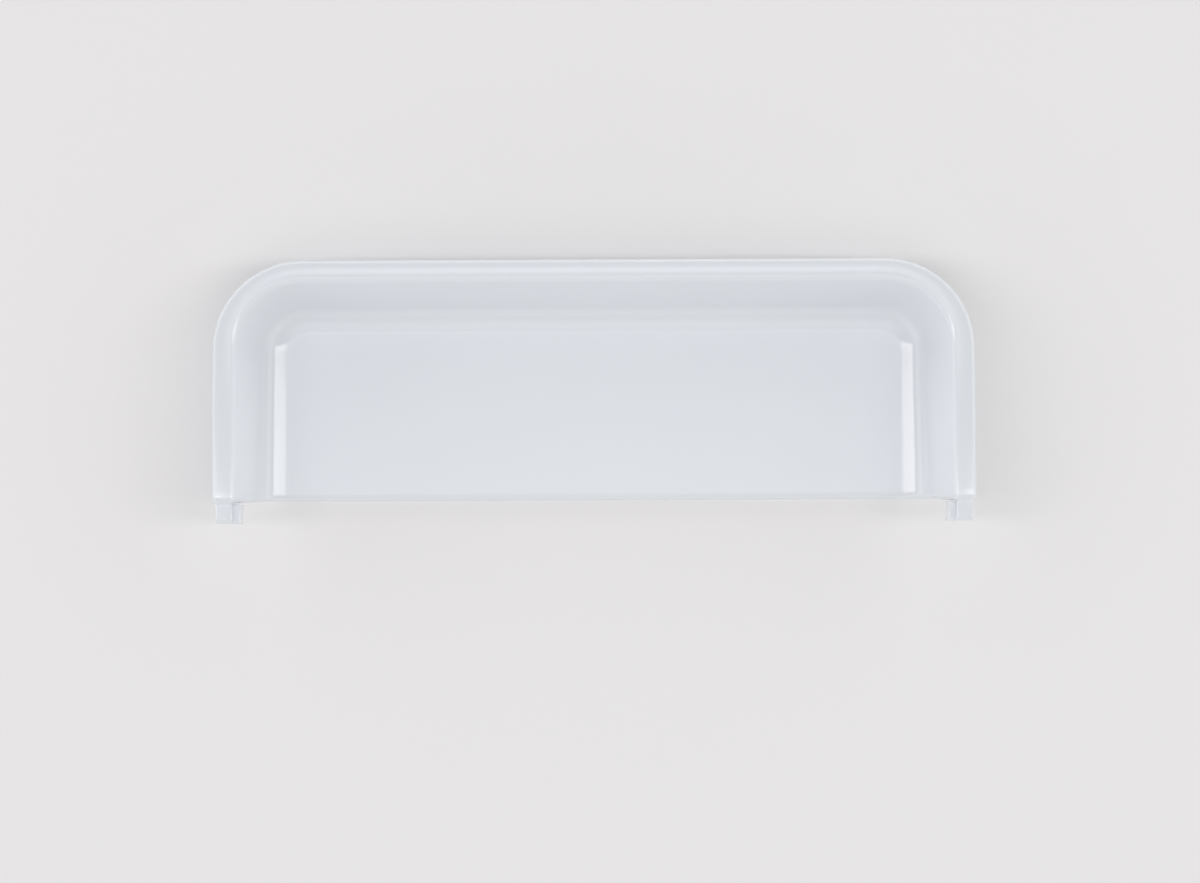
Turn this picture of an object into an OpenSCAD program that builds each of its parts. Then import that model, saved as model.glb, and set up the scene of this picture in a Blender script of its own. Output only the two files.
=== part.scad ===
// Recessed door handle of a clothes dryer: one injection moulded shell.
// The finger pocket has a flat floor and a round scoop wall on three sides. A flat flange
// frames it and lies on the door skin. The fourth side is open, and there a stepped tongue
// at each end of the flange goes behind the door skin.
// It is modelled as it lies on a table: the floor is level, the pocket faces up, the closed
// side of the flange is towards +Y and the open side towards -Y.

/* [Flange] */
// Overall width across the flange
handle_w = 240; // [200:1:280]
// From the closed edge of the flange to its open ends
handle_h = 76.6; // [64:0.1:100]
// Width of the flange, from the mouth of the pocket to the outer edge
flange_w = 7.4; // [6.6:0.1:9]
// Thickness of the flange
flange_t = 2.3; // [2:0.1:3]
// Outer radius of the flange's two corners
corner_r = 28.1; // [25:0.1:34]
// Rounding of the flange's outer edge
outer_round_r = 1.7; // [1.3:0.05:2.2]
// Rounding from the flange into the pocket
mouth_round_r = 2.1; // [1.3:0.05:2.4]

/* [Pocket] */
// Thickness of the scoop wall and of the floor
wall_t = 2.3; // [1.8:0.1:3]
// Depth from the flange to the floor at the closed edge
closed_depth = 18.7; // [16:0.1:24]
// Depth from the flange to the floor at the open ends
open_depth = 23; // [19:0.1:30]
// Width of the scoop wall in plan, from the mouth to where the flat floor begins
scoop_w = 15.1; // [13:0.1:18]
// Radius of the scoop between wall and floor at the closed edge; it grows with the depth
scoop_r = 9.3; // [7:0.1:12]
// Rounding of the open side's visible edges
end_round_r = 2.1; // [0.8:0.1:2.2]

/* [Tongues] */
// Reach of each tongue past the flange's end
tongue_len = 6.1; // [4:0.1:8]
// Width of a tongue's upper plate
tongue_w = 5.2; // [4:0.1:5.8]
// Thickness of a tongue's upper plate
tongue_t = 2.2; // [1.8:0.1:3]
// Lead-in chamfer at a tongue's tip
tongue_chamfer = 1; // [0.4:0.1:1.6]
// How far a tongue's outer edge lies inside the flange's edge
tongue_inset = 0.7; // [0.3:0.1:1.5]
// Thickness of the web along a tongue's inner edge
web_w = 2.4; // [1.8:0.1:3.2]
// Step from a tongue's plate down to the top of its web
web_step = 1.4; // [0.8:0.1:2]
// Height of a tongue's web
web_h = 7; // [4:0.1:9]
// Length of the block that carries a tongue under the flange
root_len = 5; // [4:0.1:8]

/* [Snap catches and gussets] */
// Gap for the door skin between the flange and what holds it from behind
skin_gap = 1; // [0.8:0.05:1.5]
// From the mouth of the pocket to the edge of the door's cut-out
cutout_d = 4.6; // [4.4:0.1:5]
// How far a catch reaches behind the door skin
catch_bite = 1; // [0.6:0.1:1.2]
// Length of a catch along the flange
catch_w = 10; // [6:0.5:14]
// Height of a catch
catch_h = 5.5; // [4:0.1:7]
// Distance between the catches of the closed side
catch_pitch = 70; // [60:1:80]
// Thickness of a gusset
gusset_t = 1.2; // [0.8:0.1:2]
// Height of a gusset
gusset_h = 5; // [3:0.1:7]
// Gap between a gusset and the edge of the door's cut-out
gusset_clear = 0.3; // [0.2:0.05:0.5]

/* [Hidden] */

plastic = "#DBDEE3";

// Number of straight facets along each rounding, and of stations round each corner.
edge_steps = 5;
scoop_steps = 12;
corner_steps = 14;
end_steps = 4;

half_w = handle_w / 2;

// The flange's face is a plane that climbs from the closed edge to the open ends.
flange_slope = atan((open_depth - closed_depth) / handle_h);
function flange_z(y) = wall_t + closed_depth + (closed_y - y) * tan(flange_slope);

// A tongue steps down by the flange and the door skin, so that the skin lies over it.
tongue_drop = flange_t + skin_gap;
web_bottom = tongue_drop + web_step + web_h;
// The whole part, tongues included, is centred on the origin.
tongue_reach = tongue_len * cos(flange_slope) + web_bottom * sin(flange_slope);
closed_y = (handle_h + tongue_reach) / 2;
open_y = closed_y - handle_h;

// The mouth is the plan line where the flange ends and the pocket begins. Every section is
// taken square to it, at d millimetres outside it.
mouth_x = half_w - flange_w;
mouth_y = closed_y - flange_w;
mouth_r = corner_r - flange_w;
corner_x = half_w - corner_r;
corner_y = closed_y - corner_r;

// Plan points on the mouth as [x, y, outward direction x, outward direction y, cut], where cut
// is how far the rounding of the open end has taken the visible surface away.
function end_station(k, side) =
    let (turn = 90 * (1 - k / end_steps))
    [side * mouth_x, open_y + end_round_r * (1 - sin(turn)), side, 0,
     end_round_r * (1 - cos(turn))];
function corner_station(a, side) =
    [side * (corner_x + mouth_r * cos(a)), corner_y + mouth_r * sin(a),
     side * cos(a), sin(a), 0];
left_stations = concat(
    [for (k = [0:end_steps]) end_station(k, -1)],
    [for (k = [0:corner_steps]) corner_station(90 * k / corner_steps, -1)]);
right_stations = concat(
    [for (k = [corner_steps:-1:0]) corner_station(90 * k / corner_steps, 1)],
    [for (k = [end_steps:-1:0]) end_station(k, 1)]);
stations = concat(left_stations, right_stations);

// A point of a section: d outside the mouth, at the height z.
function at_height(s, d, z) = [s[0] + s[2] * d, s[1] + s[3] * d, z];
// A point of a section: d outside the mouth and h above the flange's face.
function on_flange(s, d, h) = at_height(s, d, flange_z(s[1] + s[3] * d) + h);

// The scoop's radius keeps its share of the pocket's depth.
function scoop_radius(s) = scoop_r * (flange_z(s[1]) - wall_t) / closed_depth;
function scoop_z(s) = wall_t + scoop_radius(s);

// The straight part of the wall is the line that touches both the mouth rounding, whose centre
// is mouth_round_r outside the mouth, and the scoop, whose centre is scoop_w inside it. Its
// draft, the angle to the upright, follows from the two circles.
function mouth_z(s) = flange_z(s[1] + s[3] * mouth_round_r) - mouth_round_r;
function wall_draft(s) =
    let (dx = mouth_round_r + scoop_w, dz = mouth_z(s) - scoop_z(s))
    atan2(dx, dz) - asin((mouth_round_r + scoop_radius(s)) / norm([dx, dz]));

// The end rounding shrinks a convex radius by the cut, down to a small rest.
function convex_r(r, cut) = max(0.1, r - cut);

// Visible surface of a section, from the flange's lower outer corner to the floor.
function front_points(s) =
    let (cut = s[4], draft = wall_draft(s))
    concat(
        [on_flange(s, flange_w - outer_round_r + convex_r(outer_round_r, cut), -flange_t)],
        [for (k = [0:edge_steps])
            let (a = 90 * k / edge_steps, r = convex_r(outer_round_r, cut))
            on_flange(s, flange_w - outer_round_r + r * cos(a), -outer_round_r + r * sin(a))],
        [for (k = [0:edge_steps])
            let (a = 90 + (90 - draft) * k / edge_steps, r = convex_r(mouth_round_r, cut))
            at_height(s, mouth_round_r + r * cos(a), mouth_z(s) + r * sin(a))],
        [for (k = [0:scoop_steps])
            let (a = draft + (90 - draft) * k / scoop_steps, r = scoop_radius(s) + cut)
            at_height(s, -scoop_w + r * cos(a), scoop_z(s) - r * sin(a))]);

// Hidden surface of a section, from under the floor back to the flange's seat.
function back_points(s) =
    let (draft = wall_draft(s), r = scoop_radius(s) + wall_t)
    concat(
        [for (k = [scoop_steps:-1:0])
            let (a = draft + (90 - draft) * k / scoop_steps)
            at_height(s, -scoop_w + r * cos(a), scoop_z(s) - r * sin(a))],
        [on_flange(s, wall_d(s, wall_t, flange_z(s[1]) - flange_t), -flange_t)]);

// Distance from the mouth to the surface that lies inset behind the visible wall, at height z.
// It follows the straight part above and the scoop below.
function wall_d(s, inset, z) =
    let (draft = wall_draft(s),
        r = scoop_radius(s) + inset,
        line = mouth_round_r + (inset - mouth_round_r) / cos(draft)
            + (z - mouth_z(s)) * tan(draft))
    z > scoop_z(s) - r * sin(draft) ? line : -scoop_w + sqrt(pow(r, 2) - pow(scoop_z(s) - z, 2));

// The whole shell is one loft of these sections along the mouth, with the floor between them.
module shell() {
    front_count = len(front_points(stations[0]));
    loop_count = front_count + len(back_points(stations[0]));
    far = len(stations) - 1;
    floor_j = front_count - 1;
    under_j = front_count;
    seat_j = loop_count - 1;
    function at(i, j) = i * loop_count + j % loop_count;
    points = [for (s = stations) each concat(front_points(s), back_points(s))];
    skin = [for (i = [0:far - 1], j = [0:loop_count - 1])
        if (j != floor_j) [at(i, j), at(i + 1, j), at(i + 1, j + 1), at(i, j + 1)]];
    // Floor and underside run straight across from side to side in the end rounding.
    floor_edge = [for (i = [0:end_steps - 1])
        [at(i, floor_j), at(i + 1, floor_j), at(far - i - 1, floor_j), at(far - i, floor_j)]];
    under_edge = [for (i = [0:end_steps - 1])
        [at(i, under_j), at(far - i, under_j), at(far - i - 1, under_j), at(i + 1, under_j)]];
    floor_top = [for (i = [end_steps:far - end_steps]) at(i, floor_j)];
    floor_under = [for (i = [far - end_steps:-1:end_steps]) at(i, under_j)];
    // An open end is a fan over the flange, then a ladder down the scoop wall.
    head = [for (j = [0:floor_j - scoop_steps - 1]) [seat_j, j, j + 1]];
    ladder = [for (k = [0:scoop_steps - 1])
        let (j = floor_j - k, u = under_j + k) [j, u, u + 1, j - 1]];
    foot = [[seat_j, floor_j - scoop_steps, under_j + scoop_steps]];
    end_left = concat(head, ladder, foot);
    end_right = [for (f = end_left) [for (n = [len(f) - 1:-1:0]) at(far, f[n])]];
    end_floor = [at(0, floor_j), at(far, floor_j), at(far, under_j), at(0, under_j)];
    polyhedron(points, concat(skin, floor_edge, under_edge, end_left, end_right,
        [floor_top, floor_under, end_floor]), convexity = 6);
}

// Places its children at a point of the flange's sloping face. There -Y runs down the open
// side along the face, and +Z stands square on it.
module on_flange_face(x, y) {
    translate([x, y, flange_z(y)]) rotate([-flange_slope, 0, 0]) children();
}

tongue_out_x = half_w - tongue_inset;
module tongue(side) {
    plate_x = tongue_out_x - tongue_w;
    on_flange_face(0, open_y) mirror([side < 0 ? 1 : 0, 0, 0]) {
        translate([plate_x, 0, -tongue_drop]) rotate([90, 0, 90])
            linear_extrude(height = tongue_w) polygon([
                [root_len, 0],
                [-tongue_len + tongue_chamfer, 0],
                [-tongue_len, -tongue_chamfer],
                [-tongue_len, -tongue_t],
                [root_len, -tongue_t]]);
        translate([plate_x - web_w, -tongue_len, -web_bottom])
            cube([web_w + wall_t / 2, tongue_len, web_h]);
        // The root fills the gap between the plate and the flange's seat.
        translate([plate_x, 0, -tongue_drop - tongue_t / 2])
            cube([tongue_w - 0.4, root_len, tongue_drop - flange_t / 2 + tongue_t / 2]);
    }
}

// The flange's seat, its underside that lies on the door skin, above a section's point.
function seat_z(s, d) = flange_z(s[1] + s[3] * d) - flange_t;
// Distance from the mouth to the middle of the wall's thickness at height z.
function wall_mid_d(s, z) = wall_d(s, wall_t / 2, z);

// A plate that stands square to the mouth at station s and has a profile of [d, z] points.
module section_plate(s, thickness, profile) {
    translate([s[0], s[1], 0]) rotate([90, 0, atan2(s[3], s[2])])
        linear_extrude(height = thickness, center = true) polygon(profile);
}

function closed_station(x) = [x, mouth_y, 0, 1, 0];
function side_station(y, side) = [side * mouth_x, y, side, 0, 0];

// A snap catch has a flat top one skin below the seat and a ramp that slides over the skin.
module catch(s) {
    tip_d = cutout_d + catch_bite;
    bottom = seat_z(s, 0) - skin_gap - catch_h;
    nose = catch_h / 4;
    section_plate(s, catch_w, [
        [wall_mid_d(s, seat_z(s, 0)), seat_z(s, wall_t / 2) - skin_gap],
        [tip_d, seat_z(s, tip_d) - skin_gap],
        [tip_d, seat_z(s, tip_d) - skin_gap - nose],
        [wall_mid_d(s, bottom), bottom]]);
}

// A gusset stiffens the corner between wall and flange and fits inside the cut-out.
module gusset(s) {
    tip_d = cutout_d - gusset_clear;
    bottom = seat_z(s, 0) - gusset_h;
    top = seat_z(s, 0) + flange_t / 2;
    section_plate(s, gusset_t, [
        [wall_mid_d(s, seat_z(s, 0)), top],
        [tip_d, top],
        [tip_d, seat_z(s, 0) - gusset_h / 5],
        [wall_mid_d(s, bottom), bottom]]);
}

module door_handle() {
    color(plastic) {
        shell();
        for (side = [-1, 1]) {
            tongue(side);
            catch(closed_station(side * catch_pitch / 2));
            gusset(closed_station(side * catch_pitch));
            gusset(side_station(corner_y - gusset_t, side));
            gusset(side_station((corner_y + open_y + root_len) / 2, side));
        }
        gusset(closed_station(0));
    }
}

door_handle();
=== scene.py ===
# %% [markdown]
# # A recessed dryer door handle
#
# The object is one injection-moulded piece of glossy white ABS. A shallow pocket for the
# fingers is closed on three sides by a scoop-shaped wall, and a flat flange frames it there.
# The fourth side is open. At each end of the flange a small stepped tongue sticks out, which
# goes behind the sheet metal of the door.
#
# Sizes are written in millimetres and degrees, as on a drawing, and the part's own are those
# of its construction model. Blender works in metres, so a size is multiplied by MM where a
# mesh, a lamp or the camera is made.

import math

import bpy
import numpy as np
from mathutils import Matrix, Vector


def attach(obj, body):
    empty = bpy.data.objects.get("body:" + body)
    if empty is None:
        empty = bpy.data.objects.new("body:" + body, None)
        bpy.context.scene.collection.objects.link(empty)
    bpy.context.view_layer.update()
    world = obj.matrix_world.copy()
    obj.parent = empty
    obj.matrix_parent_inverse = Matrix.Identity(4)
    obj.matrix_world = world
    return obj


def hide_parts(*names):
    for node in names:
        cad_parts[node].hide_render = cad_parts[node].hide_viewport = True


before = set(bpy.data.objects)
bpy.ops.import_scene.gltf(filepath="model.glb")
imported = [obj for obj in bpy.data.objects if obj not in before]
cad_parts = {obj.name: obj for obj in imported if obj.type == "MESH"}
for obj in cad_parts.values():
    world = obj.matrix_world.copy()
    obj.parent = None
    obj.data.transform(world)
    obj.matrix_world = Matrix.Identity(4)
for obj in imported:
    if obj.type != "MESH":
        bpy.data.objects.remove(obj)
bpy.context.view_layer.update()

# %% [markdown]
# ## Sizes of the whole part
#
# A glossy moulding shows its shape by its reflections, so a facet that the eye would never
# find in the outline still shows as a kink in a highlight. The construction model keeps few
# facets. Here the same surface is worked out again, with many more points on each rounding.
#
# The pocket's floor is level and the flange slopes, because the pocket is deeper at its open
# side. HANDLE_H runs from the closed side's edge to the open side, without the tongues. The
# part is centred on the origin together with its tongues, so their reach is worked out here.
# SKIN_GAP is the room for the door's sheet metal between the flange and what is behind it.

# %% Sizes of the whole part
MM = 0.001
HANDLE_W = 240.0
HANDLE_H = 76.6
FLANGE_W = 7.4
FLANGE_T = 2.3
CORNER_R = 28.1
WALL_T = 2.3
CLOSED_DEPTH = 18.7
OPEN_DEPTH = 23.0
SKIN_GAP = 1.0
TONGUE_LEN = 6.1
WEB_STEP = 1.4
WEB_H = 7.0

SLOPE = math.atan((OPEN_DEPTH - CLOSED_DEPTH) / HANDLE_H)
TONGUE_DROP = FLANGE_T + SKIN_GAP
WEB_BOTTOM = TONGUE_DROP + WEB_STEP + WEB_H
REACH = TONGUE_LEN * math.cos(SLOPE) + WEB_BOTTOM * math.sin(SLOPE)
CLOSED_Y = (HANDLE_H + REACH) / 2
OPEN_Y = CLOSED_Y - HANDLE_H
print("flange slope in degrees:", round(math.degrees(SLOPE), 2))

# %% [markdown]
# ## A path for the shell
#
# The shell is one section carried along a path, which gives a grid of points. That needs no
# boolean and has even, clean quads for the highlights. The path is the pocket's mouth in
# plan: up the left side, round a corner, along the closed side, round the other corner and
# down the right side.

# %% Stations along the mouth
MOUTH_X = HANDLE_W / 2 - FLANGE_W
MOUTH_Y = CLOSED_Y - FLANGE_W
MOUTH_R = CORNER_R - FLANGE_W
CORNER_X = HANDLE_W / 2 - CORNER_R
CORNER_Y = CLOSED_Y - CORNER_R
END_ROUND_R = 2.1
END_STEPS = 16
SIDE_STEPS = 24
CORNER_STEPS = 60
CLOSED_STEPS = 41


def mouth_stations():
    """Stations along the mouth, one row each: x, y, outward x, outward y, cut.

    A straight side is x = +-MOUTH_X with the outward direction +-X. A corner is the circle
    of radius MOUTH_R about (+-CORNER_X, CORNER_Y), with the outward direction along its
    radius. Near the open end the cut grows as a quarter circle of radius END_ROUND_R, and
    says how far the edge's rounding has eaten into the visible surface.
    """
    turn = np.radians(np.linspace(90.0, 0.0, END_STEPS + 1))
    end_y = OPEN_Y + END_ROUND_R * (1 - np.sin(turn))
    end_cut = END_ROUND_R * (1 - np.cos(turn))
    side_y = np.linspace(end_y[-1], CORNER_Y, SIDE_STEPS + 1)[1:-1]
    angle = np.radians(np.linspace(0.0, 90.0, CORNER_STEPS + 1))
    straight = len(end_y) + len(side_y)
    x = np.concatenate([np.full(straight, MOUTH_X), CORNER_X + MOUTH_R * np.cos(angle)])
    y = np.concatenate([end_y, side_y, CORNER_Y + MOUTH_R * np.sin(angle)])
    out_x = np.concatenate([np.ones(straight), np.cos(angle)])
    out_y = np.concatenate([np.zeros(straight), np.sin(angle)])
    cut = np.concatenate([end_cut, np.zeros(len(x) - len(end_cut))])
    right = np.stack([x, y, out_x, out_y, cut], axis=1)
    left = right * np.array([-1, 1, -1, 1, 1])
    closed_x = np.linspace(-CORNER_X, CORNER_X, CLOSED_STEPS + 1)[1:-1]
    zero = np.zeros_like(closed_x)
    closed = np.stack([closed_x, zero + MOUTH_Y, zero, zero + 1, zero], axis=1)
    return np.concatenate([left, closed, right[::-1]])


path = mouth_stations()
print("stations along the mouth:", len(path))

# %% [markdown]
# ## The wall's shape
#
# On the real part the fingers slide down a steep wall into a round scoop and out over the flat
# floor. In section the wall is a straight line between two circles: the small rounding at the
# mouth and the large scoop. The scoop keeps its share of the depth, and the line touches both
# circles, so no kink shows in a highlight, however deep the pocket is.

# %% Scoop and straight wall
MOUTH_ROUND_R = 2.1
SCOOP_W = 15.1
SCOOP_R = 9.3


def flange_z(y):
    """Height of the flange's face at y.

    It is WALL_T + CLOSED_DEPTH at the closed edge, plus the distance from that edge times
    the tangent of SLOPE.
    """
    return WALL_T + CLOSED_DEPTH + (CLOSED_Y - y) * math.tan(SLOPE)


def scoop_radius(stations):
    """Radius of the scoop: SCOOP_R times the pocket's depth there over CLOSED_DEPTH."""
    return SCOOP_R * (flange_z(stations[:, 1]) - WALL_T) / CLOSED_DEPTH


def mouth_z(stations):
    """Height of the mouth rounding's centre, which lies MOUTH_ROUND_R outside the mouth."""
    return flange_z(stations[:, 1] + stations[:, 3] * MOUTH_ROUND_R) - MOUTH_ROUND_R


def wall_draft(stations):
    """Angle in radians between the straight part of the wall and the upright.

    The wall touches the mouth's rounding and the scoop from opposite sides. With dx and dz
    between the two centres and R the scoop's radius, the draft is
    atan2(dx, dz) - asin((MOUTH_ROUND_R + R) / sqrt(dx^2 + dz^2)).
    """
    radius = scoop_radius(stations)
    dx = MOUTH_ROUND_R + SCOOP_W
    dz = mouth_z(stations) - WALL_T - radius
    return np.arctan2(dx, dz) - np.arcsin((MOUTH_ROUND_R + radius) / np.hypot(dx, dz))


drafts = np.degrees(wall_draft(path))
print("wall's draft in degrees: from", drafts.min().round(1), "to", drafts.max().round(1))

# %% [markdown]
# ## The section as points
#
# Square to the path stands the section: over the flange, down the wall and the scoop, and
# back up behind them, one wall's thickness away. Each of its points is a distance outside the
# mouth and a height. At the open end the same formula rounds the edge: there the cut takes
# something off the convex radii and adds it to the hollow one.

# %% Places in the section
def at_height(stations, out, z):
    """Points at the mouth plus out times the outward direction, at the height z."""
    x = stations[:, :1] + stations[:, 2:3] * out
    y = stations[:, 1:2] + stations[:, 3:4] * out
    return np.stack([x, y, z], axis=-1)


def on_flange(stations, out, up):
    """Points out from the mouth, at the height of the flange's face there plus up."""
    return at_height(stations, out, flange_z(stations[:, 1:2] + stations[:, 3:4] * out) + up)


def wall_out(stations, inset, z):
    """Distance from the mouth to the surface inset behind the visible wall, at height z.

    Above the point where they touch it is the wall's line, moved outwards by the inset over
    the draft's cosine. Below it is the scoop's circle, with its radius larger by the inset.
    """
    draft = wall_draft(stations)
    centre_z = WALL_T + scoop_radius(stations)
    radius = scoop_radius(stations) + inset
    line = (MOUTH_ROUND_R + (inset - MOUTH_ROUND_R) / np.cos(draft)
            + (z - mouth_z(stations)) * np.tan(draft))
    arc = -SCOOP_W + np.sqrt(np.maximum(radius ** 2 - (centre_z - z) ** 2, 0.0))
    return np.where(z > centre_z - radius * np.sin(draft), line, arc)


seat_outs = wall_out(path, WALL_T, flange_z(path[:, 1]) - FLANGE_T)
print("back of the wall at the seat, mm outside the mouth: up to", seat_outs.max().round(2))

# %% Front and back of the section
OUTER_ROUND_R = 1.7
LEAST_ROUND_R = 0.1
ROUND_STEPS = 12
SCOOP_STEPS = 48


def scoop_arc(stations, extra):
    """The scoop from the straight wall down to the floor, with its radius larger by extra.

    The angle runs from the draft to a right angle. A point lies radius * cos(angle) outside
    the scoop's centre and radius * sin(angle) below it.
    """
    draft = wall_draft(stations)[:, None]
    plain = scoop_radius(stations)[:, None]
    angle = draft + (math.pi / 2 - draft) * np.linspace(0, 1, SCOOP_STEPS + 1)[None, :]
    radius = plain + extra
    return at_height(stations, -SCOOP_W + radius * np.cos(angle),
                     WALL_T + plain - radius * np.sin(angle))


def front_surface(stations):
    """Visible side of the section, from the flange's lower outer corner to the floor.

    The outer rounding is a quarter circle, and the mouth's rounding turns by 90 degrees less
    the draft. Their radii are smaller by the cut, and the scoop's is larger by it.
    """
    cut = stations[:, 4:5]
    draft = wall_draft(stations)[:, None]
    radius = np.maximum(OUTER_ROUND_R - cut, LEAST_ROUND_R)
    corner = on_flange(stations, FLANGE_W - OUTER_ROUND_R + radius, -FLANGE_T)
    angle = np.radians(np.linspace(0, 90, ROUND_STEPS + 1))[None, :]
    outer = on_flange(stations, FLANGE_W - OUTER_ROUND_R + radius * np.cos(angle),
                      -OUTER_ROUND_R + radius * np.sin(angle))
    radius = np.maximum(MOUTH_ROUND_R - cut, LEAST_ROUND_R)
    angle = math.pi / 2 + (math.pi / 2 - draft) * np.linspace(0, 1, ROUND_STEPS + 1)[None, :]
    mouth = at_height(stations, MOUTH_ROUND_R + radius * np.cos(angle),
                      mouth_z(stations)[:, None] + radius * np.sin(angle))
    return np.concatenate([corner, outer, mouth, scoop_arc(stations, cut)], axis=1)


def back_surface(stations):
    """Hidden side of the section, WALL_T behind the scoop and the wall, up to the seat."""
    seat_out = wall_out(stations, WALL_T, flange_z(stations[:, 1]) - FLANGE_T)[:, None]
    seat = on_flange(stations, seat_out, -FLANGE_T)
    return np.concatenate([scoop_arc(stations, WALL_T)[:, ::-1], seat], axis=1)


front = front_surface(path)
back = back_surface(path)
print("points in a section:", front.shape[1], "in front and", back.shape[1], "behind")

# %% [markdown]
# ## From points to a mesh object
#
# Every piece goes into Blender the same way. Its faces are smooth, so that a rounding shades
# as one surface, and edges that fold more than FOLD_ANGLE stay crisp.

# %% Mesh objects
FOLD_ANGLE = 40.0


def new_object(name, points, faces):
    """A mesh object at the origin, from points in millimetres and lists of point numbers."""
    mesh = bpy.data.meshes.new(name)
    mesh.from_pydata((np.asarray(points) * MM).tolist(), [], faces)
    mesh.validate()
    mesh.polygons.foreach_set("use_smooth", np.ones(len(mesh.polygons), dtype=bool))
    mesh.set_sharp_from_angle(angle=math.radians(FOLD_ANGLE))
    mesh.update()
    obj = bpy.data.objects.new(name, mesh)
    bpy.context.scene.collection.objects.link(obj)
    return obj


print("edges stay crisp above a fold of", FOLD_ANGLE, "degrees")

# %% [markdown]
# ## The shell
#
# The grid is closed with three kinds of faces. The skin joins neighbouring stations. The flat
# floor, and its underside, run straight across from a left station to its right partner. At
# the two open ends the front and back points of the same section are joined: rungs down the
# wall, and one larger face over the flange.

# %% The shell's mesh
def shell_faces(count, around, floor_at):
    """Faces of the closed shell, turned outwards.

    A point's number is station * around + place in the section. The floor's edge is at the
    place floor_at, and its underside's edge follows it. An open end is a ladder of SCOOP_STEPS
    rungs, each between one step of the scoop in front and the same step behind, and a head,
    which is the rest of the section as one face.
    """
    index = np.arange(count * around).reshape(count, around)
    following = np.roll(index, -1, axis=1)
    skin = np.stack([index[:-1], following[:-1], following[1:], index[1:]], axis=-1)
    skin = np.delete(skin, floor_at, axis=1).reshape(-1, 4)
    left, right = index[:count // 2], index[::-1][:count // 2]
    under_at = floor_at + 1
    under, floor = (np.stack([left[:-1, place], left[1:, place], right[1:, place],
                              right[:-1, place]], axis=-1) for place in (under_at, floor_at))
    step = np.arange(SCOOP_STEPS)
    rungs = np.stack([floor_at - step, floor_at - step - 1, under_at + step + 1,
                      under_at + step], axis=-1)
    head = [around - 1, under_at + SCOOP_STEPS] + list(range(floor_at - SCOOP_STEPS, -1, -1))
    end = rungs.tolist() + [head]
    last = (count - 1) * around
    end_edge = [floor_at, under_at, last + under_at, last + floor_at]
    far_end = [[last + place for place in reversed(face)] for face in end]
    return skin.tolist() + floor[:, ::-1].tolist() + under.tolist() + end + far_end + [end_edge]


sections = np.concatenate([front, back], axis=1)
faces = shell_faces(len(path), sections.shape[1], front.shape[1] - 1)
shell = new_object("handle_shell", sections.reshape(-1, 3), faces)
print("shell:", len(shell.data.vertices), "points,", len(faces), "faces")

# %% [markdown]
# ## Prisms with moulded edges
#
# Tongues, catches and gussets are flat-sided details of the same moulding. Each is a profile
# drawn in a plane and pushed through a thickness. A mould always leaves a small radius on
# such a detail, so a narrow bevel finishes it and gives its edges a thin light line.

# %% Prisms
BEVEL_STEPS = 3
BEVEL_ANGLE = 30.0


def prism_faces(count):
    """Outward faces of a prism from its two ends, of count points each.

    Seen from the second end, a profile's points are listed anticlockwise. A side joins two
    neighbouring points of one end to the same two of the other.
    """
    ring = [[k, (k + 1) % count, count + (k + 1) % count, count + k] for k in range(count)]
    return [list(range(count))[::-1], list(range(count, 2 * count))] + ring


def finish_edges(obj, width):
    """A rounded bevel, width millimetres wide, on edges that turn more than BEVEL_ANGLE."""
    bevel = obj.modifiers.new("moulded_edge", "BEVEL")
    bevel.width = width * MM
    bevel.segments = BEVEL_STEPS
    bevel.limit_method = "ANGLE"
    bevel.angle_limit = math.radians(BEVEL_ANGLE)
    return obj


print("a plain block has", len(prism_faces(4)), "faces")

# %% [markdown]
# ## Tongues
#
# A tongue slides behind the door's sheet metal before the closed side is snapped in, so its
# top lies one skin's thickness below the flange's underside. It is a plate with a chamfered
# tip, a web along its inner edge that keeps it from bending, and a root that joins the plate
# to the flange. It is drawn as if the flange were level, so that its edges are level and
# upright, and turned to the flange's slope at the end.

# %% Tongues
TONGUE_W = 5.2
TONGUE_T = 2.2
TONGUE_CHAMFER = 1.0
TONGUE_INSET = 0.7
TONGUE_BEVEL = 0.4
WEB_W = 2.4
ROOT_LEN = 5.0
ROOT_INSET = 0.4


def on_face(points):
    """Points drawn on the flange's face at its open end, turned by the slope and moved there.

    -Y runs on along the face, past the open side, and +Z stands square on it. y becomes
    y cos(SLOPE) + z sin(SLOPE), and z becomes z cos(SLOPE) - y sin(SLOPE).
    """
    x, y, z = points.T
    cos, sin = math.cos(SLOPE), math.sin(SLOPE)
    return np.stack([x, OPEN_Y + y * cos + z * sin,
                     flange_z(OPEN_Y) - y * sin + z * cos], axis=1)


def prism(profile, x0, x1):
    """Points of a (y, z) profile pushed from x0 to x1."""
    y, z = np.array(profile, dtype=float).T
    return np.concatenate([np.stack([np.full(len(y), x), y, z], axis=1) for x in (x0, x1)])


def block(y0, y1, z0, z1):
    """The profile of a plain block."""
    return [(y0, z0), (y1, z0), (y1, z1), (y0, z1)]


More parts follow.
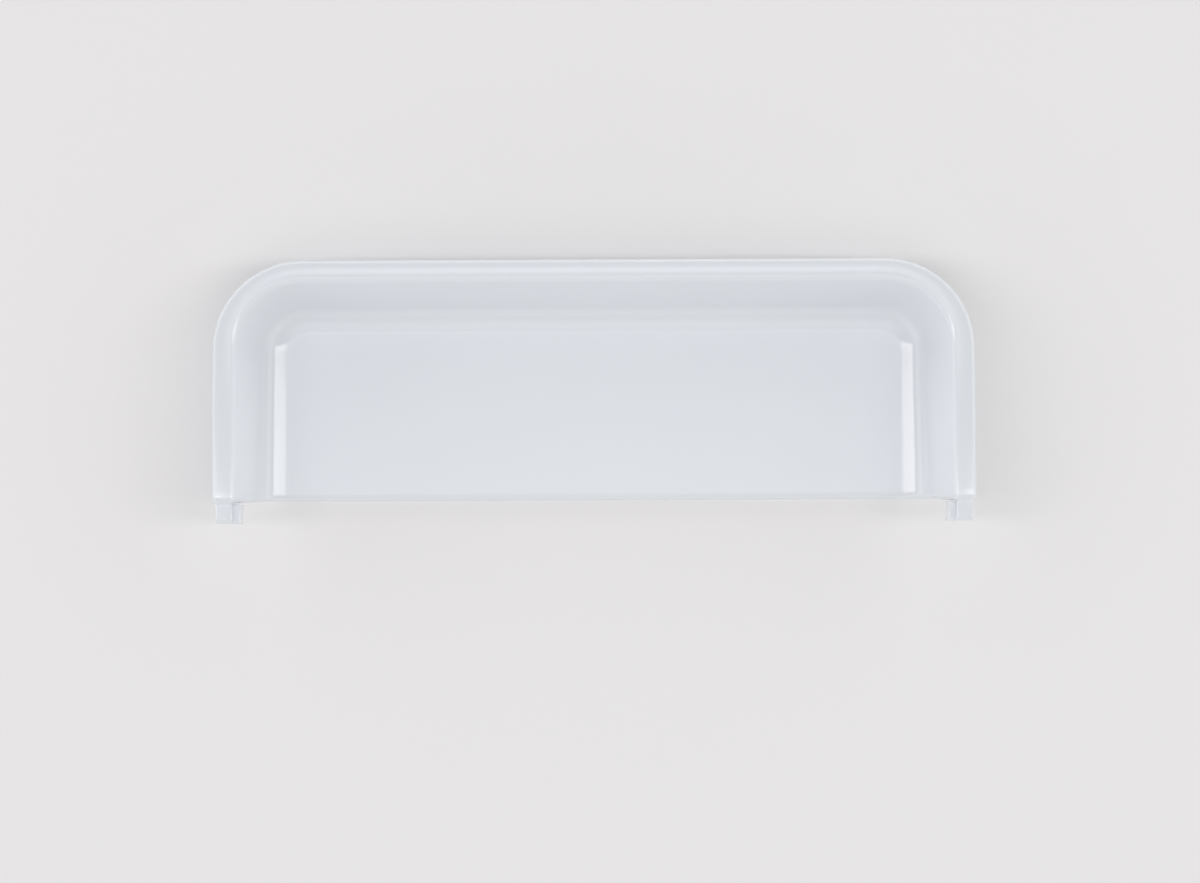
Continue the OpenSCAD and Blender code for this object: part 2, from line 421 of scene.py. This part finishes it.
def tongue(name, side):
    """The tongue at the right (1) or left (-1) end: plate, web and root.

    They reach half way into each other and into the flange, so that no gap can show. They are
    drawn for the right end. The left one is their mirror image, with the points of each face
    listed the other way round, so that it still faces outwards.
    """
    plate_x = HANDLE_W / 2 - TONGUE_INSET - TONGUE_W
    top = -TONGUE_DROP
    bottom = top - TONGUE_T
    plate = [(-TONGUE_LEN, bottom), (ROOT_LEN, bottom), (ROOT_LEN, top),
             (TONGUE_CHAMFER - TONGUE_LEN, top), (-TONGUE_LEN, top - TONGUE_CHAMFER)]
    web = block(-TONGUE_LEN, 0, -WEB_BOTTOM, top - WEB_STEP)
    root = block(0, ROOT_LEN, top - TONGUE_T / 2, -FLANGE_T / 2)
    solids = [prism(plate, plate_x, plate_x + TONGUE_W),
              prism(web, plate_x - WEB_W, plate_x + WALL_T / 2),
              prism(root, plate_x, plate_x + TONGUE_W - ROOT_INSET)]
    faces = []
    first = 0
    for solid in solids:
        for face in prism_faces(len(solid) // 2):
            faces.append([first + k for k in face[::side]])
        first += len(solid)
    points = on_face(np.concatenate(solids) * np.array([side, 1, 1]))
    return finish_edges(new_object(name, points, faces), TONGUE_BEVEL)


tongues = [tongue("tongue_left", -1), tongue("tongue_right", 1)]
print("tongues:", [piece.name for piece in tongues])

# %% [markdown]
# ## Plates behind the flange
#
# The back of the handle is hidden, so what is there follows from its use: something snaps
# behind the edge of the door's cut-out, and something stiffens the corner between the wall
# and the flange. Both are flat plates that stand square to the mouth. Their inner edge ends in
# the middle of the wall's thickness, so that no gap can show. CUTOUT_OUT is the distance from
# the mouth to the edge of the cut-out.

# %% Plates square to the mouth
CUTOUT_OUT = 4.6
PLATE_BEVEL = 0.15


def seat_z(station, out):
    """Height of the flange's underside, its seat on the door's skin, out from the mouth."""
    return float(flange_z(station[1] + station[3] * out)) - FLANGE_T


def wall_middle(station, z):
    """Distance from the mouth to the middle of the wall's thickness at the height z."""
    return float(wall_out(np.array([station]), WALL_T / 2, z)[0])


def section_plate(name, station, thickness, profile):
    """A plate from a profile of (out, z) points, where out is a distance from the mouth.

    Its two ends lie half the thickness to either side of the station, along the mouth, which
    is the outward direction turned by a right angle.
    """
    x, y, out_x, out_y = station[:4]
    out, z = np.array(profile).T
    ends = [np.stack([x + out_x * out - out_y * along, y + out_y * out + out_x * along, z],
                     axis=1) for along in (-thickness / 2, thickness / 2)]
    return finish_edges(new_object(name, np.concatenate(ends), prism_faces(len(z))), PLATE_BEVEL)


def closed_station(x):
    """A station of the closed side."""
    return (x, MOUTH_Y, 0.0, 1.0, 0.0)


def side_station(y, side):
    """A station of the left (-1) or right (1) side."""
    return (side * MOUTH_X, y, float(side), 0.0, 0.0)


print("seat's height at the closed side:", round(seat_z(closed_station(0.0), 0), 2), "mm")

# %% Catches and gussets
CATCH_BITE = 1.0
CATCH_W = 10.0
CATCH_H = 5.5
CATCH_NOSE = CATCH_H / 4
CATCH_PITCH = 70.0
GUSSET_T = 1.2
GUSSET_H = 5.0
GUSSET_EDGE = GUSSET_H / 5
GUSSET_CLEAR = 0.3


def catch(name, station):
    """A snap catch: a flat top one skin below the seat, a short nose and a long ramp."""
    tip = CUTOUT_OUT + CATCH_BITE
    bottom = seat_z(station, 0) - SKIN_GAP - CATCH_H
    return section_plate(name, station, CATCH_W, [
        (wall_middle(station, seat_z(station, 0)), seat_z(station, WALL_T / 2) - SKIN_GAP),
        (tip, seat_z(station, tip) - SKIN_GAP),
        (tip, seat_z(station, tip) - SKIN_GAP - CATCH_NOSE),
        (wall_middle(station, bottom), bottom)])


def gusset(name, station):
    """A gusset: a thin plate in the corner between the wall and the flange's underside."""
    tip = CUTOUT_OUT - GUSSET_CLEAR
    top = seat_z(station, 0) + FLANGE_T / 2
    bottom = seat_z(station, 0) - GUSSET_H
    return section_plate(name, station, GUSSET_T, [
        (wall_middle(station, seat_z(station, 0)), top),
        (tip, top),
        (tip, seat_z(station, 0) - GUSSET_EDGE),
        (wall_middle(station, bottom), bottom)])


corner_y = CORNER_Y - GUSSET_T
side_y = (CORNER_Y + OPEN_Y + ROOT_LEN) / 2
plates = [gusset("gusset_closed_middle", closed_station(0.0))]
for side, word in ((-1, "left"), (1, "right")):
    plates.append(catch(f"catch_{word}", closed_station(side * CATCH_PITCH / 2)))
    plates.append(gusset(f"gusset_closed_{word}", closed_station(side * CATCH_PITCH)))
    plates.append(gusset(f"gusset_corner_{word}", side_station(corner_y, side)))
    plates.append(gusset(f"gusset_side_{word}", side_station(side_y, side)))
print("catches and gussets:", len(plates))

# %% [markdown]
# ## Tie the pieces to the part
#
# The construction model has one node and one body for the whole moulding. The shell stands in
# for that node, and every piece rides on its body.

# %% Tie the pieces to the part
pieces = [shell] + tongues + plates
for piece in pieces:
    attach(piece, "root")
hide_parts("door_handle")
print("pieces on the part:", len(pieces))

# %% [markdown]
# ## Node helpers
#
# Colours are written as sRGB hex codes, as a colour chart gives them, and one function turns
# them to the linear values that Blender reckons with. Another adds a node with its settings
# and its links in one call, so that a material reads from top to bottom.

# %% Colour and node helpers
def srgb(hex_code):
    """An sRGB hex code as linear RGBA.

    Each channel c is c / 12.92 below 0.04045, and ((c + 0.055) / 1.055) ** 2.4 above it.
    """
    c = np.array([int(hex_code[k:k + 2], 16) for k in (1, 3, 5)]) / 255
    linear = np.where(c <= 0.04045, c / 12.92, ((c + 0.055) / 1.055) ** 2.4)
    return (*(float(v) for v in linear), 1.0)


def without_nodes(owner):
    """A material or world with its node tree switched on and emptied."""
    owner.use_nodes = True
    owner.node_tree.nodes.clear()
    return owner


def add_node(owner, kind, settings=None, links=None):
    """Add a node, set its attributes and unlinked inputs, and link its other inputs.

    A key is the name of an attribute or input, or an input's number where names repeat.
    """
    tree = owner.node_tree
    node = tree.nodes.new(kind)
    for key, value in (settings or {}).items():
        if isinstance(key, int) or key in node.inputs:
            node.inputs[key].default_value = value
        else:
            setattr(node, key, value)
    for key, socket in (links or {}).items():
        tree.links.new(socket, node.inputs[key])
    return node


print("half grey in linear light:", round(srgb("#808080")[0], 3))

# %% [markdown]
# ## Gloss white ABS
#
# The plastic is acrylonitrile butadiene styrene, moulded against polished steel. Its white is
# slightly cool. Polished steel leaves a clear reflection with soft but definite edges: the
# refractive index is about 1.53 and the roughness is low. The plastic's skin is never quite
# flat, since it shrinks unevenly as it cools. A broad, very shallow bump makes the
# reflections a little uneven, and a fine one stands for the polish of the mould.

# %% The plastic
# Shrinkage waves are 40 mm long. The mould's polish leaves marks of about 1.5 mm, drawn
# coarser than life to show at all. A noise's scale counts its waves in a metre.
WAVES_PER_METRE = 25.0
MARKS_PER_METRE = 650.0

abs_white = without_nodes(bpy.data.materials.new("gloss_white_abs"))
place = add_node(abs_white, "ShaderNodeTexCoord")
waves = add_node(abs_white, "ShaderNodeTexNoise", {"Scale": WAVES_PER_METRE, "Detail": 1.0},
                 {"Vector": place.outputs["Object"]})
polish = add_node(abs_white, "ShaderNodeTexNoise", {"Scale": MARKS_PER_METRE, "Detail": 2.0},
                  {"Vector": place.outputs["Object"]})
wave_bump = add_node(abs_white, "ShaderNodeBump", {"Strength": 0.12, "Distance": 0.0004},
                     {"Height": waves.outputs["Fac"]})
bump = add_node(abs_white, "ShaderNodeBump", {"Strength": 0.02, "Distance": 0.0001},
                {"Height": polish.outputs["Fac"], "Normal": wave_bump.outputs["Normal"]})
gloss = add_node(abs_white, "ShaderNodeMapRange", {"To Min": 0.10, "To Max": 0.14},
                 {"Value": polish.outputs["Fac"]})
# The Mix node's inputs 6 and 7 are its two colours, 0 is the factor and output 2 the result.
tint = add_node(abs_white, "ShaderNodeMix",
                {"data_type": "RGBA", 6: srgb("#DBDFE4"), 7: srgb("#DDE1E6")},
                {0: waves.outputs["Fac"]})
skin = add_node(abs_white, "ShaderNodeBsdfPrincipled", {"IOR": 1.53},
                {"Base Color": tint.outputs[2], "Roughness": gloss.outputs["Result"],
                 "Normal": bump.outputs["Normal"]})
add_node(abs_white, "ShaderNodeOutputMaterial", {}, {"Surface": skin.outputs["BSDF"]})
for piece in pieces:
    piece.data.materials.append(abs_white)
print("plastic on", len(pieces), "pieces")

# %% [markdown]
# ## The table
#
# The handle lies on a pale, matt table top that fills the picture. It reaches far out, so that
# no low view looks past its edge. It lies a little below the floor of the pocket, because a
# moulding never lies quite flat, and the gap deepens the thin dark line round it.

# %% Table top
TABLE_HALF = 4000.0
TABLE_GAP = 0.4

corners = [(x * TABLE_HALF, y * TABLE_HALF, -TABLE_GAP)
           for x, y in ((-1, -1), (1, -1), (1, 1), (-1, 1))]
table = new_object("table", corners, [(0, 1, 2, 3)])
board = without_nodes(bpy.data.materials.new("matt_white_board"))
matt = add_node(board, "ShaderNodeBsdfPrincipled",
                {"Base Color": srgb("#EAE9E9"), "Roughness": 0.75, "IOR": 1.45})
add_node(board, "ShaderNodeOutputMaterial", {}, {"Surface": matt.outputs["BSDF"]})
table.data.materials.append(board)
print("table's half width in metres:", TABLE_HALF * MM)

# %% [markdown]
# ## Lamps
#
# The reflections say where the lamps were. A long softbox stands on each side: each is seen as
# a bright streak in the scoop of the wall opposite it, and as a thin line on the flange's
# roundings. The tongues mirror the dark just above the softboxes.
#
# Three panels hang overhead. The floor of the pocket mirrors the front one and the narrow
# middle one next to it. The front one is large, so that the foot of the scoop mirrors it too
# and its edges draw no line. The back one is mirrored in the closed side's flange. The middle
# and the back one are short, so that the side flanges and the tongues mirror the dark beside
# them.
#
# A lamp's strength is given as its radiance: 1 is the brightness of a white card in full
# light. A rectangular lamp sends out pi times its area times its radiance in watts.

# %% Lamps
STREAK_X = 101.0
SOFTBOX_DISTANCE = 1500.0
SOFTBOX_TILTS = (18.3, 58)
PANEL_HEIGHT = 1900.0


def panel(name, centre, size, turn, radiance, colour):
    """A rectangular area lamp, tipped about Y by turn degrees from straight down."""
    lamp = bpy.data.lights.new(name, "AREA")
    lamp.shape = "RECTANGLE"
    lamp.size = size[0] * MM
    lamp.size_y = size[1] * MM
    lamp.color = colour
    lamp.energy = math.pi * lamp.size * lamp.size_y * radiance
    obj = bpy.data.objects.new(name, lamp)
    obj.location = Vector(centre) * MM
    obj.rotation_euler = (0, math.radians(turn), 0)
    bpy.context.scene.collection.objects.link(obj)


def softbox(name, side, y_ends, radiance, colour):
    """A softbox on the right (1) or left (-1), as the scoop on the other side sees it.

    The streak in that scoop is STREAK_X from the middle. From there the softbox reaches
    between the two SOFTBOX_TILTS from the upright and stands square to the middle one. Its
    width is twice the distance times the tangent of half the angle between them.
    """
    middle = math.radians(sum(SOFTBOX_TILTS) / 2)
    half = math.radians((SOFTBOX_TILTS[1] - SOFTBOX_TILTS[0]) / 2)
    centre = (side * (SOFTBOX_DISTANCE * math.sin(middle) - STREAK_X), sum(y_ends) / 2,
              SOFTBOX_DISTANCE * math.cos(middle))
    size = (2 * SOFTBOX_DISTANCE * math.tan(half), y_ends[1] - y_ends[0])
    panel(name, centre, size, side * math.degrees(middle), radiance, colour)


softbox("softbox_right", 1, (-190, 85), 5.1, (1.0, 0.98, 0.96))
softbox("softbox_left", -1, (-170, 90), 5.25, (1.0, 0.96, 0.97))
panel("overhead_front", (0, -75, PANEL_HEIGHT), (1120, 320), 0, 2.45, (0.93, 0.96, 1.0))
panel("overhead_middle", (0, 107, PANEL_HEIGHT), (800, 46), 0, 2.45, (0.95, 0.97, 1.0))
panel("overhead_back", (0, 370, PANEL_HEIGHT), (800, 160), 0, 3.0, (0.93, 0.91, 1.0))

# %% [markdown]
# ## Room light
#
# The rest is light from the room's four sides. It is brightest low down, as from a white
# backdrop round the table, and strongest behind the closed side, so the handle's shadows are
# faint there. Only the front has light high up, which the closed side's wall faces.
#
# It is painted on the world. A direction's tilt is its angle from the upright, and each side
# has a ramp of radiance over the tilt. How much of a side's ramp a direction gets is the
# square of its part towards that side over the square of its level part, so that the four
# shares add up to one and no seam shows.

# %% What a direction is made of
world = without_nodes(bpy.data.worlds.new("room"))


def world_math(operation, first, second=None):
    """A math node in the world's tree. Its inputs are sockets or numbers."""
    inputs = {k: v for k, v in enumerate((first, second)) if v is not None}
    numbers = {k: v for k, v in inputs.items() if isinstance(v, float)}
    sockets = {k: v for k, v in inputs.items() if not isinstance(v, float)}
    return add_node(world, "ShaderNodeMath", {"operation": operation, **numbers},
                    sockets).outputs[0]


def squared(socket):
    """The square of a socket's value."""
    return world_math("POWER", socket, 2.0)


seen = add_node(world, "ShaderNodeTexCoord")
axis = add_node(world, "ShaderNodeSeparateXYZ", {}, {"Vector": seen.outputs["Generated"]})
tilt = world_math("DIVIDE", world_math("ARCCOSINE", axis.outputs["Z"]), math.pi)
level_squared = world_math("ADD", squared(axis.outputs["X"]), squared(axis.outputs["Y"]))
print("nodes for a direction:", len(world.node_tree.nodes))

# %% Room light from the four sides
# Each row is one side's radiance at the ROOM_TILTS, in degrees from straight up.
ROOM_TILTS = (4, 16, 34, 58, 80, 104)
ROOM = {
    ("X", 1): (0.0, 0.0, 0.0, 0.35, 2.05, 0.0),
    ("X", -1): (0.0, 0.0, 0.0, 0.45, 2.15, 0.0),
    ("Y", 1): (0.0, 0.0, 0.0, 0.0, 2.85, 0.0),
    ("Y", -1): (0.0, 1.5, 1.35, 0.25, 1.0, 0.0),
}
BRIGHTEST = max(max(radiances) for radiances in ROOM.values())


def room_side(letter, sign, radiances):
    """One side's light: its ramp over the tilt, as a share of BRIGHTEST, times its share.

    The share is the direction's part along the side's axis, or zero where it points away,
    squared and divided by the squared level part. The ramp runs from straight up at 0 to
    straight down, 180 degrees, at 1.
    """
    ahead = world_math("MAXIMUM", world_math("MULTIPLY", axis.outputs[letter], float(sign)), 0.0)
    share = world_math("DIVIDE", squared(ahead), level_squared)
    ramp = add_node(world, "ShaderNodeValToRGB", {}, {"Fac": tilt})
    stops = ramp.color_ramp.elements
    while len(stops) < len(ROOM_TILTS):
        stops.new(0.5)
    for stop, angle, radiance in zip(stops, ROOM_TILTS, radiances):
        stop.position = angle / 180
        stop.color = (*[radiance / BRIGHTEST] * 3, 1.0)
    return add_node(world, "ShaderNodeVectorMath", {"operation": "SCALE"},
                    {0: ramp.outputs["Color"], "Scale": share}).outputs["Vector"]


room_light, *others = [room_side(*side, radiances) for side, radiances in ROOM.items()]
for other in others:
    room_light = add_node(world, "ShaderNodeVectorMath", {"operation": "ADD"},
                          {0: room_light, 1: other}).outputs["Vector"]
sky = add_node(world, "ShaderNodeBackground", {"Strength": BRIGHTEST}, {"Color": room_light})
add_node(world, "ShaderNodeOutputWorld", {}, {"Surface": sky.outputs["Background"]})
bpy.context.scene.world = world
print("room light from", len(ROOM), "sides, brightest", BRIGHTEST)

# %% [markdown]
# ## Camera
#
# The camera hangs straight above the table and looks down. It is a little off the middle, and
# the picture is turned by a quarter of a degree. It hangs near enough for the pocket's depth
# to show, which gives its height, and the lens follows from the height.

# %% Camera
CAMERA_PLACE = (1.88, -15.9, 687.2)
CAMERA_TURN = -0.27
LENS = 63.4
SENSOR_W = 36.0

camera_data = bpy.data.cameras.new("camera")
camera_data.lens = LENS
camera_data.sensor_width = SENSOR_W
camera = bpy.data.objects.new("camera", camera_data)
camera.location = Vector(CAMERA_PLACE) * MM
camera.rotation_euler = (0.0, 0.0, math.radians(CAMERA_TURN))
bpy.context.scene.collection.objects.link(camera)
bpy.context.scene.camera = camera
bpy.context.scene.view_settings.view_transform = "Standard"
print("camera height in mm:", round(camera.location.z / MM, 1))
